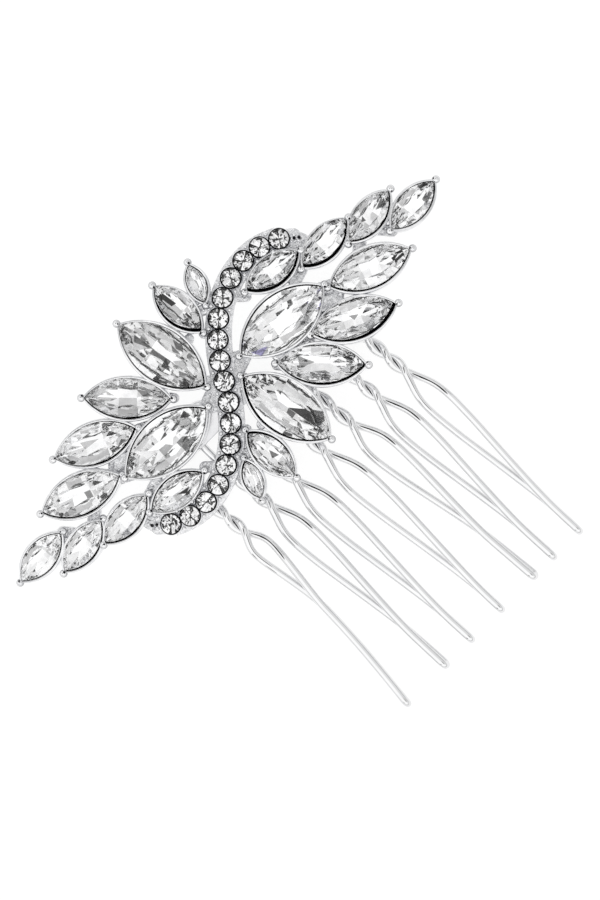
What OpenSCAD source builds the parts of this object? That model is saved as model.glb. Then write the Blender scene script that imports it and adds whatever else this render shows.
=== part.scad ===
// Bridal hair comb: a cast leaf spray set with rhinestones, on a comb bent from one twisted wire.
// It lies on its back. +X runs along the spray, the teeth point to -Y and the stones face +Z.

/* [Casting] */
// Radius of the curve along the head that the spray follows
curve_radius = 260; // [220:10:400]
// Wall thickness of the stone cups
cup_wall = 0.5; // [0.4:0.05:0.6]
// Thickness of metal under each stone
cup_floor = 0.5; // [0.4:0.1:0.8]
// Diameter of the balls at the tips of the leaves
ball_d = 1.45; // [1.2:0.05:1.6]
// Thickness of the webs that join the cups
web_thickness = 1.3; // [1:0.1:1.6]

/* [Stones] */
// Length of the large leaf stones
large_length = 18; // [17:0.5:19]
// Width of the large leaf stones
large_width = 9; // [8:0.5:9.5]
// Length of the medium leaf stones
medium_length = 15; // [14:0.5:15.5]
// Width of the medium leaf stones
medium_width = 7; // [6:0.5:7.5]
// Length of the small leaf stones
small_length = 11; // [10:0.5:11.5]
// Width of the small leaf stones
small_width = 5.3; // [4.5:0.1:5.6]
// Length of the tiny leaf stones
tiny_length = 7; // [6:0.5:7.5]
// Width of the tiny leaf stones
tiny_width = 3.4; // [3:0.1:3.8]
// Diameter of the round stones
round_d = 3.4; // [3:0.1:3.5]
// Spacing of the round stones along their row
round_spacing = 3.6; // [3.5:0.05:3.8]

/* [Comb] */
// Diameter of the comb wire
wire_d = 1.35; // [1:0.05:1.4]
// Distance between neighbouring teeth
tooth_pitch = 6.5; // [6:0.1:7]
// Length of a tooth below its last twist
tooth_length = 41; // [36:1:46]
// Length of wire between two crossings of a twist
half_twist = 4.2; // [3.8:0.1:4.6]
// Thickness of the bridge plates
plate_thickness = 0.8; // [0.6:0.1:1]

/* [Hidden] */

// Leaf settings on one side of the centre: x, y, angle, size. The other side is the same, turned by 180 degrees.
LARGE = 0;
MEDIUM = 1;
SMALL = 2;
TINY = 3;
SIZE_NAMES = ["large", "medium", "small", "tiny"];
HALF_LEAVES = [
    [14.2, 0.3, -5, LARGE],
    [4.3, -10.7, -80, LARGE],
    [31.0, -4.0, -20, MEDIUM],
    [23.0, -8.3, -25, MEDIUM],
    [13.7, -9.8, -46, MEDIUM],
    [43.8, -1.5, 4, SMALL],
    [37.2, 2.4, 8, SMALL],
    [28.6, 4.5, 3, SMALL],
    [19.0, 7.4, -8, SMALL],
    [-3.1, -14.4, -88, SMALL],
    [-8.4, -15.2, -112, TINY]
];
LEAVES = [for (leaf = HALF_LEAVES, side = [1, -1]) [side * leaf[0], side * leaf[1], leaf[2], leaf[3], side]];

// Stone proportions by size: length, width, depth below the girdle, height above it
STONES = [
    [large_length, large_width, 2.6, 1.7],
    [medium_length, medium_width, 2.2, 1.4],
    [small_length, small_width, 1.7, 1.1],
    [tiny_length, tiny_width, 1.2, 0.8]
];
girdle = 0.25;
stone_gap = 0.05;

// The row of round stones is an S: its heading falls slowly at first and faster towards the tail
rounds_each_side = 8;
function row_heading(step) = 57 - 5 * step - 0.9 * step * step;
function row_point(step) = step == 0 ? [0, 0]
    : row_point(step - 1) + round_spacing * [cos(row_heading(step - 1)), sin(row_heading(step - 1))];
function turned(point, side) = [side * point[0], side * point[1]];
ROUNDS = [for (i = [-rounds_each_side:rounds_each_side]) turned(row_point(abs(i)), i < 0 ? -1 : 1)];
round_depth = 1.5;
round_crown = 0.8;
round_cup_wall = 0.4;
round_cup_floor = 0.9;
bead_d = 0.9;
bead_offset = round_d / 2 - 0.1;

// Webs between the cups of one side: x and y of one end, x and y of the other, width
HALF_WEBS = [
    [1.6, -0.6, 5.6, 0.8, 2.6],
    [3.6, 2.2, 5.6, 1.2, 1.6],
    [0.6, -1.0, 2.6, -2.2, 2.4],
    [8.2, -4.3, 9.2, -5.6, 1.8],
    [14.0, -3.6, 16.8, -5.0, 2.2],
    [19.8, -2.2, 23.6, -3.4, 2.6],
    [22.6, -0.4, 24.6, -1.4, 2.4],
    [12.8, 7.8, 11.4, 9.2, 2.0],
    [20.4, 3.6, 23.8, 4.6, 2.2],
    [24.0, 6.2, 26.0, 7.4, 1.8],
    [24.0, 9.0, 25.0, 7.8, 2.6],
    [33.0, 3.0, 33.2, 0.4, 2.0],
    [36.6, 0.2, 38.4, -2.0, 2.0],
    [31.6, -0.2, 34.0, 1.6, 1.6],
    [8.6, -8.4, 9.6, -7.6, 1.8],
    [-0.8, -9.6, 0.2, -9.2, 1.8],
    [-3.2, -8.4, -4.6, -7.2, 1.8],
    [-5.8, -11.4, -7.2, -11.0, 2.0],
    [-6.2, -13.4, -5.4, -13.4, 1.8]
];
TAIL = [[24.6, 10.6], [26.0, 9.4], [26.6, 7.8], [25.8, 6.6]];

// Teeth: x of the last crossing, sideways reach of the tip, length of the eye, half width of the eye,
// sideways sway, turn of the tip
TEETH = [
    [-2.48 * tooth_pitch, -1.3, 18, 1.7, 1.1, 0],
    [-1.49 * tooth_pitch, 1.8, 32, 2.1, 0, 16],
    [-0.55 * tooth_pitch, 1.9, 34, 2.15, 0, 0],
    [0.52 * tooth_pitch, 2.2, 36, 2.3, 0.2, 0],
    [1.55 * tooth_pitch, 3.6, 30, 2.2, 0, 24],
    [2.52 * tooth_pitch, 1.9, 33, 2.15, 0, 0],
    [3.52 * tooth_pitch, 1.6, 34, 2.15, 0, 0]
];
// Half width of a tooth's eye along its length, as shares of its own length and width
EYE = [[0, 0], [0.06, 0.4], [0.12, 0.8], [0.18, 0.97], [0.26, 1], [0.41, 0.84], [0.56, 0.6], [0.7, 0.38],
    [0.85, 0.16], [0.97, 0.03], [1.05, 0], [3, 0]];
last_crossing_y = -20.6;
twist_top_y = -8;
twist_lean = 0.085;
arch_top_y = 1.9;
strand_gap = 0.07;
strand_r = (wire_d + strand_gap) / 2;
wire_sides = 8;
eye_rings = 14;
z_swap_length = 9;
tip_rings = 5;

// Levels, with z = 0 at the back of the casting's middle, before the part is lifted onto its resting plane
plate_size = [15, 5.4];
PLATE_CENTRES = [[-6.6, -2.4], [16.6, -2.4]];
wire_level = -plate_thickness - wire_d / 2;
function sag(x) = curve_radius * (1 - cos(x / curve_radius * 180 / PI));
tip_cup_x = HALF_LEAVES[5][0];
tip_cup_half = small_length / 2 + cup_wall;
rest_level = sag(tip_cup_x) + tip_cup_half * sin(tip_cup_x / curve_radius * 180 / PI);
tip_level = wire_d / 2 + strand_r - rest_level;

// Depth of the whole part along Y, to put the origin under its middle
function leaf_top(leaf) = abs(leaf[1]) + ball_reach(leaf[3]) * abs(sin(leaf[2])) + ball_d / 2;
top_y = max([for (leaf = HALF_LEAVES) leaf_top(leaf)]);
low_y = last_crossing_y - tooth_length;
ORIGIN = [0, (top_y + low_y) / 2, -rest_level];

function leaf_name(i) = let (kind = LEAVES[i][3])
    str(SIZE_NAMES[kind], "_leaf_stone_", len([for (k = [0:i]) if (LEAVES[k][3] == kind) 1]));
function round_name(i) = str("round_stone_", i < 9 ? "0" : "", i + 1);

// Puts children at a place on the curved casting, standing square to it
module on_curve(place) {
    turn = place[0] / curve_radius * 180 / PI;
    x = curve_radius * sin(turn);
    translate([x, place[1], -sag(place[0])] - ORIGIN)
        rotate([0, turn, 0])
            children();
}

module on_leaf(i) {
    leaf = LEAVES[i];
    on_curve(leaf)
        rotate(leaf[2] + (leaf[4] < 0 ? 180 : 0))
            children();
}

// A leaf outline is two equal arcs that meet in points
function arc_radius(length, width) = (length * length + width * width) / (4 * width);
function arc_half(length, width) = asin(length / 2 / arc_radius(length, width));
function leaf_arc(length, width, steps, y_sign) = let (r = arc_radius(length, width), a = arc_half(length, width))
    [for (k = [0:steps - 1]) let (t = a - 2 * a * k / steps)
        [y_sign * r * sin(t), y_sign * (r * cos(t) - r + width / 2)]];
function leaf_outline(length, width, steps = 5) =
    concat(leaf_arc(length, width, steps, 1), leaf_arc(length, width, steps, -1));

module leaf_prism(length, width, height) {
    linear_extrude(height)
        polygon(leaf_outline(length, width));
}

function girdle_level(kind) = cup_floor + STONES[kind][2];
function ball_reach(kind) = STONES[kind][0] / 2 + cup_wall;

module leaf_stone(i) {
    size = STONES[LEAVES[i][3]];
    slim = 2 * stone_gap;
    table = 0.55;
    color([0.93, 0.94, 0.97])
        on_leaf(i)
            translate([0, 0, cup_floor + size[2]])
                hull() {
                    translate([0, 0, -size[2]])
                        leaf_prism(0.5 * size[0], 0.04 * size[1], 0.01);
                    leaf_prism(size[0] - slim, size[1] - slim, girdle);
                    translate([0, 0, size[3] - 0.01])
                        leaf_prism(table * size[0], table * size[1], 0.01);
                }
}

module leaf_cup(kind) {
    size = STONES[kind];
    leaf_prism(size[0] + 2 * cup_wall, size[1] + 2 * cup_wall, girdle_level(kind) + girdle);
    for (end = [-1, 1])
        translate([end * ball_reach(kind), 0, girdle_level(kind) - 0.1])
            sphere(d = ball_d, $fn = 6);
}

module leaf_seat(kind) {
    size = STONES[kind];
    translate([0, 0, cup_floor])
        leaf_prism(size[0], size[1], girdle_level(kind) + size[3]);
}

module round_stone(i) {
    r = round_d / 2 - stone_gap;
    color([0.93, 0.94, 0.97])
        on_curve(ROUNDS[i])
            translate([0, 0, round_cup_floor])
                rotate_extrude($fn = 32)
                    polygon([
                        [0, 0],
                        [r, round_depth],
                        [r, round_depth + girdle],
                        [0.56 * r, round_depth + round_crown],
                        [0, round_depth + round_crown]
                    ]);
}

module round_cup() {
    cylinder(d = round_d + 2 * round_cup_wall, h = round_cup_floor + round_depth + girdle, $fn = 12);
}

module row_beads(i) {
    here = ROUNDS[i];
    next = ROUNDS[i + 1];
    across = atan2(next[1] - here[1], next[0] - here[0]) + 90;
    for (side = [-1, 1])
        on_curve((here + next) / 2 + side * bead_offset * [cos(across), sin(across)])
            translate([0, 0, round_cup_floor + round_depth])
                sphere(d = bead_d, $fn = 6);
}

module web(ends, side) {
    hull()
        for (k = [0, 2])
            on_curve([side * ends[k], side * ends[k + 1]])
                cylinder(d = ends[4], h = web_thickness, $fn = 8);
}

module tail(side) {
    for (k = [0:len(TAIL) - 2])
        hull()
            for (j = [k, k + 1])
                on_curve(side * TAIL[j])
                    cylinder(d = 2.4 - 0.35 * j, h = 1.9 - 0.2 * j, $fn = 8);
}

module cast_frame() {
    color([0.82, 0.83, 0.85])
        difference() {
            union() {
                for (i = [0:len(LEAVES) - 1])
                    on_leaf(i)
                        leaf_cup(LEAVES[i][3]);
                for (i = [0:len(ROUNDS) - 1])
                    on_curve(ROUNDS[i])
                        round_cup();
                for (i = [0:len(ROUNDS) - 2])
                    row_beads(i);
                for (side = [1, -1]) {
                    for (ends = HALF_WEBS)
                        web(ends, side);
                    tail(side);
                }
            }
            for (i = [0:len(LEAVES) - 1])
                on_leaf(i)
                    leaf_seat(LEAVES[i][3]);
            for (i = [0:len(ROUNDS) - 1])
                on_curve(ROUNDS[i])
                    translate([0, 0, round_cup_floor])
                        cylinder(d = round_d, h = 5, $fn = 16);
        }
}

module bridge_plate(i) {
    color([0.75, 0.76, 0.78])
        on_curve(PLATE_CENTRES[i])
            translate([-plate_size[0] / 2, -plate_size[1] / 2, -plate_thickness])
                cube([plate_size[0], plate_size[1], plate_thickness]);
}

// The comb wire's centreline, from the first tooth's open end to the last tooth's open end
function smooth_lookup(key, table) = (lookup(key - 0.03, table) + 2 * lookup(key, table) + lookup(key + 0.03, table)) / 4;
function clamp01(v) = max(0, min(1, v));

// Twisted part of a tooth. s runs down from the last crossing, so it is negative here.
function twist_x(tooth, s) = tooth[0] + twist_lean * s;
function twist_point(tooth, strand, s) = let (turn = 180 * s / half_twist)
    [twist_x(tooth, s) - strand * strand_r * sin(turn),
     last_crossing_y - s,
     wire_level - sag(tooth[0]) + strand * strand_r * cos(turn)];

// Open part of a tooth, below the last crossing. Strand 1 leaves to the left, strand -1 to the right.
function eye_point(tooth, strand, s) = let (
        share = s / tooth_length,
        half = tooth[3] * smooth_lookup(s / tooth[2], EYE) - strand_r * sin(tooth[5]) * pow(share, 4),
        middle = tooth[0] + tooth[1] * share + tooth[4] * sin(180 * share),
        level = wire_level - sag(tooth[0]),
        fall = (tip_level - level) * pow(share, 1.6),
        swap = cos(180 * clamp01(s / z_swap_length)))
    [middle - strand * half, last_crossing_y - s, level + fall + strand * strand_r * swap];

function tip_point(tooth, turn) = let (
        centre = eye_point(tooth, 1, tooth_length - wire_d / 2 - strand_r),
        lower = eye_point(tooth, -1, tooth_length - wire_d / 2 - strand_r),
        middle = (centre + lower) / 2,
        reach = (centre - middle) * cos(turn))
    [middle[0] + reach[0], middle[1] - strand_r * sin(turn), middle[2] + reach[2]];

eye_end = tooth_length - wire_d / 2 - strand_r;
twist_length = last_crossing_y - twist_top_y;
twist_count = ceil(-twist_length / half_twist * 4);

function strand_down(tooth, strand) = concat(
    [for (k = [0:twist_count - 1]) twist_point(tooth, strand, twist_length * (1 - k / twist_count))],
    [for (k = [0:eye_rings - 1]) eye_point(tooth, strand, eye_end * pow(k / eye_rings, 1.4))]
);
function reversed(points) = [for (k = [len(points) - 1:-1:0]) points[k]];
function tooth_path(tooth) = concat(
    strand_down(tooth, 1),
    [for (k = [0:tip_rings]) tip_point(tooth, 180 * k / tip_rings)],
    reversed(strand_down(tooth, -1))
);

// Arch from the end of one tooth's path to the start of the next one's
function arch_path(start, end) = let (
        half = (end[0] - start[0]) / 2,
        middle = (start + end) / 2,
        spring_y = arch_top_y - wire_d / 2 - half,
        lift = middle[2] - (start[2] + end[2]) / 2)
    concat(
        [[start[0], spring_y - 2, start[2]]],
        [for (k = [0:8]) let (t = 180 - 22.5 * k)
            [middle[0] + half * cos(t), spring_y + half * sin(t), start[2] + (end[2] - start[2]) * k / 8 + lift]],
        [[end[0], spring_y - 2, end[2]]]
    );

function last(points) = points[len(points) - 1];
function wire_path(i = 0) = let (here = tooth_path(TEETH[i]))
    i == len(TEETH) - 1 ? here
    : let (rest = wire_path(i + 1)) concat(here, arch_path(last(here), rest[0]), rest);

// Sweeps a round section along a path, carrying its direction from ring to ring
function unit(v) = v / norm(v);
function across(v, along) = unit(v - (v * along) * along);
function directions(path) = [for (k = [0:len(path) - 1])
    unit(path[min(k + 1, len(path) - 1)] - path[max(k - 1, 0)])];
function carried(along, k, side) = k == len(along) ? []
    : let (now = across(side, along[k])) concat([now], carried(along, k + 1, now));

module swept_wire(path, d) {
    along = directions(path);
    sides = carried(along, 0, [1, 0, 0]);
    r = d / 2 / cos(90 / wire_sides);
    points = [for (k = [0:len(path) - 1], j = [0:wire_sides - 1]) let (t = 360 * j / wire_sides)
        path[k] + r * (cos(t) * sides[k] + sin(t) * cross(along[k], sides[k]))];
    rings = len(path);
    faces = concat(
        [[for (j = [0:wire_sides - 1]) wire_sides - 1 - j]],
        [for (k = [0:rings - 2], j = [0:wire_sides - 1]) let (n = (j + 1) % wire_sides)
            [k * wire_sides + j, k * wire_sides + n, (k + 1) * wire_sides + n, (k + 1) * wire_sides + j]],
        [[for (j = [0:wire_sides - 1]) (rings - 1) * wire_sides + j]]
    );
    polyhedron(points, reverse_faces(faces));
}
function reverse_faces(faces) = [for (face = faces) reversed(face)];

module comb_wire() {
    color([0.86, 0.87, 0.89])
        translate(-ORIGIN)
            swept_wire(wire_path(), wire_d);
}

cast_frame();
comb_wire();
bridge_plate(0);  // left_bridge_plate
bridge_plate(1);  // right_bridge_plate
for (i = [0:len(LEAVES) - 1])
    leaf_stone(i);
for (i = [0:len(ROUNDS) - 1])
    round_stone(i);
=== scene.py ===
"""Looks of the rhinestone hair comb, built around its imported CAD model.

Shapes are worked out in millimetres, and become metres when their meshes are made.
"""

import math
import random
from typing import NamedTuple

import bmesh
import bpy
import numpy as np
from mathutils import Matrix, Vector, noise


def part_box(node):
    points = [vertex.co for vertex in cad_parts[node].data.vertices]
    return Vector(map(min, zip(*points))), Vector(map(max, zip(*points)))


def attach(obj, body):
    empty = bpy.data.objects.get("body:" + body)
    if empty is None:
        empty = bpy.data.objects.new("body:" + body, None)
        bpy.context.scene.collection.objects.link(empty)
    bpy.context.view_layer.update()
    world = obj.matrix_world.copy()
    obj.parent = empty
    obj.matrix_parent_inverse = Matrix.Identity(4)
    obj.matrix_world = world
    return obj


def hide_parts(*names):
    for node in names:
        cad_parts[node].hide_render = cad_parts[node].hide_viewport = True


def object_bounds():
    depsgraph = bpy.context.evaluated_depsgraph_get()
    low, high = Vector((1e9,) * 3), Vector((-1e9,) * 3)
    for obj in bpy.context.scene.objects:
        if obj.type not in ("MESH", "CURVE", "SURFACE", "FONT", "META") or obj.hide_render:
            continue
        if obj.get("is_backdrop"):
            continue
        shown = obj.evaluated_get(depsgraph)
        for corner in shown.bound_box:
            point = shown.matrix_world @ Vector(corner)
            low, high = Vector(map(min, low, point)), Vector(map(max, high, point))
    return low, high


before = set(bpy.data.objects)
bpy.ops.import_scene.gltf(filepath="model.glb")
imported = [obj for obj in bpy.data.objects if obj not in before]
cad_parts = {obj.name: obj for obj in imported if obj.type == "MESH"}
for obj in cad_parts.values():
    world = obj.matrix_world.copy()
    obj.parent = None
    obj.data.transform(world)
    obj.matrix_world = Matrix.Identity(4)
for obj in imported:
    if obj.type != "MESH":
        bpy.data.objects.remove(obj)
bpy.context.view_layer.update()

MM = 0.001

# ---- sizes, as in the CAD source
CURVE_RADIUS = 260.0
CUP_WALL, CUP_FLOOR = 0.5, 0.5
GIRDLE = 0.25
STONE_GAP = 0.05
BALL_D = 1.45
# Length, width, depth below the girdle's underside, height above it
LEAF_SIZES = {
    "large": (18.0, 9.0, 2.6, 1.7),
    "medium": (15.0, 7.0, 2.2, 1.4),
    "small": (11.0, 5.3, 1.7, 1.1),
    "tiny": (7.0, 3.4, 1.2, 0.8),
}
ROUNDS = 17
ROUND_D = 3.4
ROUND_DEPTH, ROUND_CROWN = 1.5, 0.8
ROUND_CUP_WALL, ROUND_CUP_FLOOR = 0.4, 0.9
WEB_THICKNESS = 1.3
# Webs of one half of the casting: x and y of both ends from its middle, and width
WEBS = [
    (1.6, -0.6, 5.6, 0.8, 2.6), (3.6, 2.2, 5.6, 1.2, 1.6), (0.6, -1.0, 2.6, -2.2, 2.4),
    (8.2, -4.3, 9.2, -5.6, 1.8), (14.0, -3.6, 16.8, -5.0, 2.2), (19.8, -2.2, 23.6, -3.4, 2.6),
    (22.6, -0.4, 24.6, -1.4, 2.4), (12.8, 7.8, 11.4, 9.2, 2.0), (20.4, 3.6, 23.8, 4.6, 2.2),
    (24.0, 6.2, 26.0, 7.4, 1.8), (33.0, 3.0, 33.2, 0.4, 2.0), (36.6, 0.2, 38.4, -2.0, 2.0),
    (31.6, -0.2, 34.0, 1.6, 1.6), (8.6, -8.4, 9.6, -7.6, 1.8), (-0.8, -9.6, 0.2, -9.2, 1.8),
    (-3.2, -8.4, -4.6, -7.2, 1.8), (24.0, 9.0, 25.0, 7.8, 2.6), (-5.8, -11.4, -7.2, -11.0, 2.0),
    (-6.2, -13.4, -5.4, -13.4, 1.8),
]
# The pointed tail past each end of the row of round stones
TAIL = [(24.6, 10.6), (26.0, 9.4), (26.6, 7.8), (25.8, 6.6)]
WIRE_D = 1.35
TOOTH_PITCH = 6.5
TOOTH_LENGTH = 41.0
HALF_TWIST = 4.2
PLATE_THICKNESS = 0.8


class Tooth(NamedTuple):
    """One tooth of the comb. Its eye is the opening between its two strands. tip_turn is in degrees."""

    crossing_x: float
    tip_shift: float
    eye_length: float
    eye_half_width: float
    sway: float
    tip_turn: float


TEETH = [
    Tooth(-2.48 * TOOTH_PITCH, -1.3, 18, 1.7, 1.1, 0),
    Tooth(-1.49 * TOOTH_PITCH, 1.8, 32, 2.1, 0, 16),
    Tooth(-0.55 * TOOTH_PITCH, 1.9, 34, 2.15, 0, 0),
    Tooth(0.52 * TOOTH_PITCH, 2.2, 36, 2.3, 0.2, 0),
    Tooth(1.55 * TOOTH_PITCH, 3.6, 30, 2.2, 0, 24),
    Tooth(2.52 * TOOTH_PITCH, 1.9, 33, 2.15, 0, 0),
    Tooth(3.52 * TOOTH_PITCH, 1.6, 34, 2.15, 0, 0),
]
# How open an eye is at each share of its length
EYE = [(0, 0), (0.06, 0.4), (0.12, 0.8), (0.18, 0.97), (0.26, 1), (0.41, 0.84), (0.56, 0.6), (0.7, 0.38),
       (0.85, 0.16), (0.97, 0.03), (1.05, 0), (3, 0)]
LAST_CROSSING_Y, TWIST_TOP_Y, ARCH_TOP_Y = -20.6, -8.0, 1.9
# Sideways drift of a twist for each millimetre down
TWIST_LEAN = 0.085
STRAND_R = (WIRE_D + 0.07) / 2
# Length below the last crossing in which the two strands change places in height
Z_SWAP_LENGTH = 9.0
# A tooth falls towards its tip by this power of the share of its length
TIP_BEND_POWER = 1.6

# ---- sizes and tones of the looks alone
BALL_TRIM, BALL_DROP = 0.015, 0.1
# Degrees from the top of a ball to where its foot starts; the tip balls' foot is darker, as painted shade
FOOT_START = 48
# Dark spot on a ball, a painted reflection of a dark thing: furthest turn from the stone's axis, range of its
# lean from the ball's top, range of its radius, and how far it stands proud
SPOT_TURN, SPOT_LEAN = 75, (22, 50)
SPOT_RADIUS, SPOT_PROUD = (0.25, 0.45), 0.03
BEAD_RADIUS, BEAD_INSET, BEAD_DROP = 0.36, 0.08, 0.05
# Near-black seam between the strands of a twist: painted shade of the crevice
SEAM_RADIUS = 0.38
# A swept wire narrows at the first and last two points of its path
END_TAPER = (0.75, 0.93)
PLATE_BEVEL = 0.18
# Spacing of the points round a web, and its lumps in a millimetre
WEB_STEP = 0.3
LUMPS_PER_MM = 2.2
GRAINS_PER_WEB = 9
GRAIN_RADIUS = (0.14, 0.34)
GRAIN_SPREAD, GRAIN_SINK = 0.4, 0.25
# Room left between a web and the floor of a cup's hollow
WEB_CLEARANCE = 0.1
# Width, height and bead radius of the tail's first part, and what each next part has less
TAIL_WIDTH, TAIL_WIDTH_STEP = 2.3, 0.35
TAIL_HEIGHT, TAIL_HEIGHT_STEP = 1.7, 0.2
TAIL_BEAD_RADIUS, TAIL_BEAD_STEP, TAIL_BEAD_SINK = 0.47, 0.08, 0.15
# Pits in the tail, made as near-black balls: painted shade
TAIL_PITS = [(25.6, 8.9), (26.3, 8.4)]
PIT_RADIUS, PIT_HEIGHT = 0.3, 1.6
# Seeds of the tail's lumps start here, above those of the webs
TAIL_SEED = 40

# Where each leaf stone leaves a gap in its cup, dark with the cup's painted shade: side of the gap in degrees
# from the outer tip, and shift
SEAT_SHIFTS = {
    "large": [(90, 0.1), (-110, 0.08), (-125, 0.2), (165, 0.15)],
    "medium": [(-125, 0.15), (75, 0.12), (-50, 0.4), (150, 0.2), (-49, 0.25), (101, 0.12)],
    "small": [(-49, 0.08), (131, 0.08), (-98, 0.15), (97, 0.15), (-128, 0.4), (82, 0.15), (-112, 0.38),
              (-117, 0.1), (163, 0.25), (145, 0.4)],
    "tiny": [(-143, 0.1), (0, 0)],
}
# Painted reflections on some foils, as darker or tinted facets: tone, then outline, with x from the middle to
# the outer tip
MARKS = {
    ("large", 1): [
        (0.5, (3.6, 0), (5.5, -0.2), (6.2, -1.7), (3.3, -2.3)), (0.5, (0.5, -2.1), (3.4, -2.4), (3.2, -1.3)),
        ((0.42, 0.39, 0.66), (-7.4, -0.5), (-4.4, -1.2), (-6.5, -2.3)),
        (0.45, (-1.4, 3.2), (0.6, 2.3), (-0.9, 2.5)), (0.75, (3.4, 1.4), (5.6, 1.9), (6.2, 0.2)),
    ],
    ("large", 2): [
        (0.22, (-2.7, 0.9), (-4.6, 2.1), (-1.5, 3.4), (-1.3, 1.05)),
        (0.05, (-6.4, -0.3), (-7.0, 0.4), (-6.1, 0.5)),
        (0.5, (-3.0, -2.4), (-5.2, -1.6), (-5.6, 0.9), (-4.0, 0.6)),
    ],
    ("large", 3): [
        (0.02, (0.15, 0.0), (2.7, 1.5), (3.6, 1.6), (5.9, 0.0)),
        (0.16, (3.6, 1.6), (5.4, 2.8), (6.5, 1.6), (5.9, 0.0)),
        (0.88, (-6.6, -1.0), (-2.0, -0.4), (3.8, -2.4), (-1.0, -4.0), (-4.5, -3.0)),
    ],
    ("large", 4): [
        (0.08, (-0.9, 0.0), (-1.1, 1.7), (-2.9, 1.5)),
        (0.2, (0.0, -2.8), (-2.0, -3.0), (-2.7, -1.9), (-1.3, -1.5)),
        (0.2, (-4.6, 1.4), (-6.6, 1.0), (-5.7, 2.6)), (0.15, (5.9, -0.2), (1.4, 0.0), (5.0, 0.9)),
        (0.04, (5.1, 2.4), (2.9, 2.0), (4.2, 2.0)),
    ],
    ("medium", 1): [(0.0, (4.0, -0.7), (3.9, -0.05), (5.9, 0.25), (6.0, -0.3))],
    ("medium", 3): [
        (0.3, (-0.5, 0.6), (1.2, 0.3), (0.2, -0.4)), (0.25, (-1.5, -1.6), (0.3, -2.0), (-0.4, -1.2)),
    ],
    ("medium", 4): [
        (0.15, (-5.4, 1.2), (-3.2, 1.8), (-4.4, 0.5)), (0.5, (-1.0, -0.5), (2.0, 0.4), (2.4, -1.0)),
    ],
    ("medium", 5): [
        (0.35, (-1.0, 0.2), (-4.0, 1.2), (-3.6, -0.8)), (0.3, (-1.5, -1.4), (1.8, -1.8), (0.8, -1.2)),
    ],
    ("medium", 6): [
        (0.35, (-1.5, -1.5), (-4.5, -1.0), (-2.8, -0.2)), (0.3, (2.0, 1.2), (3.6, 0.9), (2.8, 1.8)),
    ],
    ("small", 1): [
        (0.04, (2.8, 0.5), (2.9, 1.3), (4.3, 1.0), (4.5, 0.2)),
        (0.2, (1.7, -1.3), (1.9, -0.5), (3.5, -0.2), (3.8, -1.0)),
    ],
    ("small", 3): [
        (0.12, (1.6, -0.3), (3.2, -1.0), (3.9, 0.3)), (0.1, (-1.6, 0.4), (-0.7, 0.9), (-0.9, -0.1)),
    ],
    ("small", 5): [(0.02, (2.7, 1.6), (4.3, 0.9), (3.4, 0.6))],
    ("small", 7): [(0.02, (-0.6, 1.9), (1.0, 1.6), (0.4, 1.2)), (0.05, (1.4, 1.6), (2.8, 1.2), (2.0, 0.9))],
    ("small", 8): [
        (0.0, (0.3, 0.3), (-2.3, 0.5), (-1.2, 1.2)), (0.3, (-3.3, -1.4), (-4.6, -0.2), (-3.1, -0.1)),
    ],
    ("small", 9): [
        (0.15, (-1.0, 0.3), (0.9, 0.9), (0.4, -0.4)), (0.08, (2.0, -0.9), (3.4, -0.2), (3.0, -1.2)),
    ],
    ("small", 10): [
        (0.0, (0.6, -0.3), (3.4, 0.0), (3.6, 0.9), (0.8, 0.6)),
        (0.08, (-3.6, 0.8), (-2.2, 1.2), (-2.6, 0.0)),
    ],
}
# Numbers of the leaf stones whose foil facets get only the bright tones of painted reflection
PALE = {"large": (1, 2), "medium": (5,), "small": (1, 2, 4, 5, 7, 8)}
# Tones drawn at random for the foil facets: painted reflection, where darker facets stand for darker things
# reflected
FOIL_TONES = [1.0, 1.0, 1.0, 1.0, 0.97, 0.93, 0.86, 0.68]
PALE_FOIL_TONES = [1.0, 1.0, 0.99, 0.97]
# The clear facets carry a tone too, but only the foil shows it
GLASS_TONE = 0.9
# Black of the painted reflections in the foils
BLACK_TONE = 0.01

# Leaf cut. Crown rings: facets on a side, inset from the tips and slope in degrees, how far the slope
# wobbles, and whether the facets start at the girdle or at the table's edge
CROWN_SLOPE = 36
CROWN_RINGS = [(4, 14, CROWN_SLOPE, 1.2, True), (6, 6, 39, 1, True), (4, 20, 24, 2.0, False)]
# Share of the crown's run that lies outside the table's edge
TABLE_EDGE = 0.92
GIRDLE_FACETS = 19
FOIL_FACETS, FOIL_INSET, FOIL_EDGE_SLOPE = 5, 8, 44
# Depth of the foil's keel as a share of the stone's depth, and reach of its ends as a share of the length
KEEL_DEPTH, KEEL_REACH = 0.78, 0.11
# How far below the girdle's underside the foil's facets start
FOIL_RIM_DEPTH = 0.1
TIP_CUT, TABLE_TRIM = 0.12, 0.02
# How much shorter and narrower a leaf stone is than its hole, besides the gap
STONE_TRIM = 0.2

# Round cut: slopes of its facets in degrees, and the flats at its middle
ROUND_TRIM = 0.06
ROUND_SIDES = 32
ROUND_BLOCK = 12
ROUND_MAIN_SLOPE, ROUND_STAR_SLOPE, ROUND_HALF_SLOPE = 35, 20, 39
ROUND_FOIL_SLOPE, ROUND_FOIL_HALF_SLOPE = 40.8, 41.1
ROUND_STAR_REACH = 0.86
ROUND_POINT_HEIGHT, CULET_HEIGHT = 0.05, 0.22
# Tones drawn at random for the round stones' foil facets: painted reflection
ROUND_FOIL_TONES = [1.0, 1.0, 0.9, 0.7]
ROUND_FOIL_HALF_TONES = [1.0, 1.0, 0.95, 0.85]
# Black wedges painted in the foil of a round stone as reflections: inner and outer radius, and half angle in
# degrees
ROUND_WEDGES = [(0.8, 1.5, 8), (1.0, 1.5, 12), (0.7, 1.4, 7), (1.1, 1.5, 14), (0.15, 0.6, 34), (0.3, 0.9, 15)]


# ---- places on the curved casting
def sine(degrees):
    return math.sin(math.radians(degrees))


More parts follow.
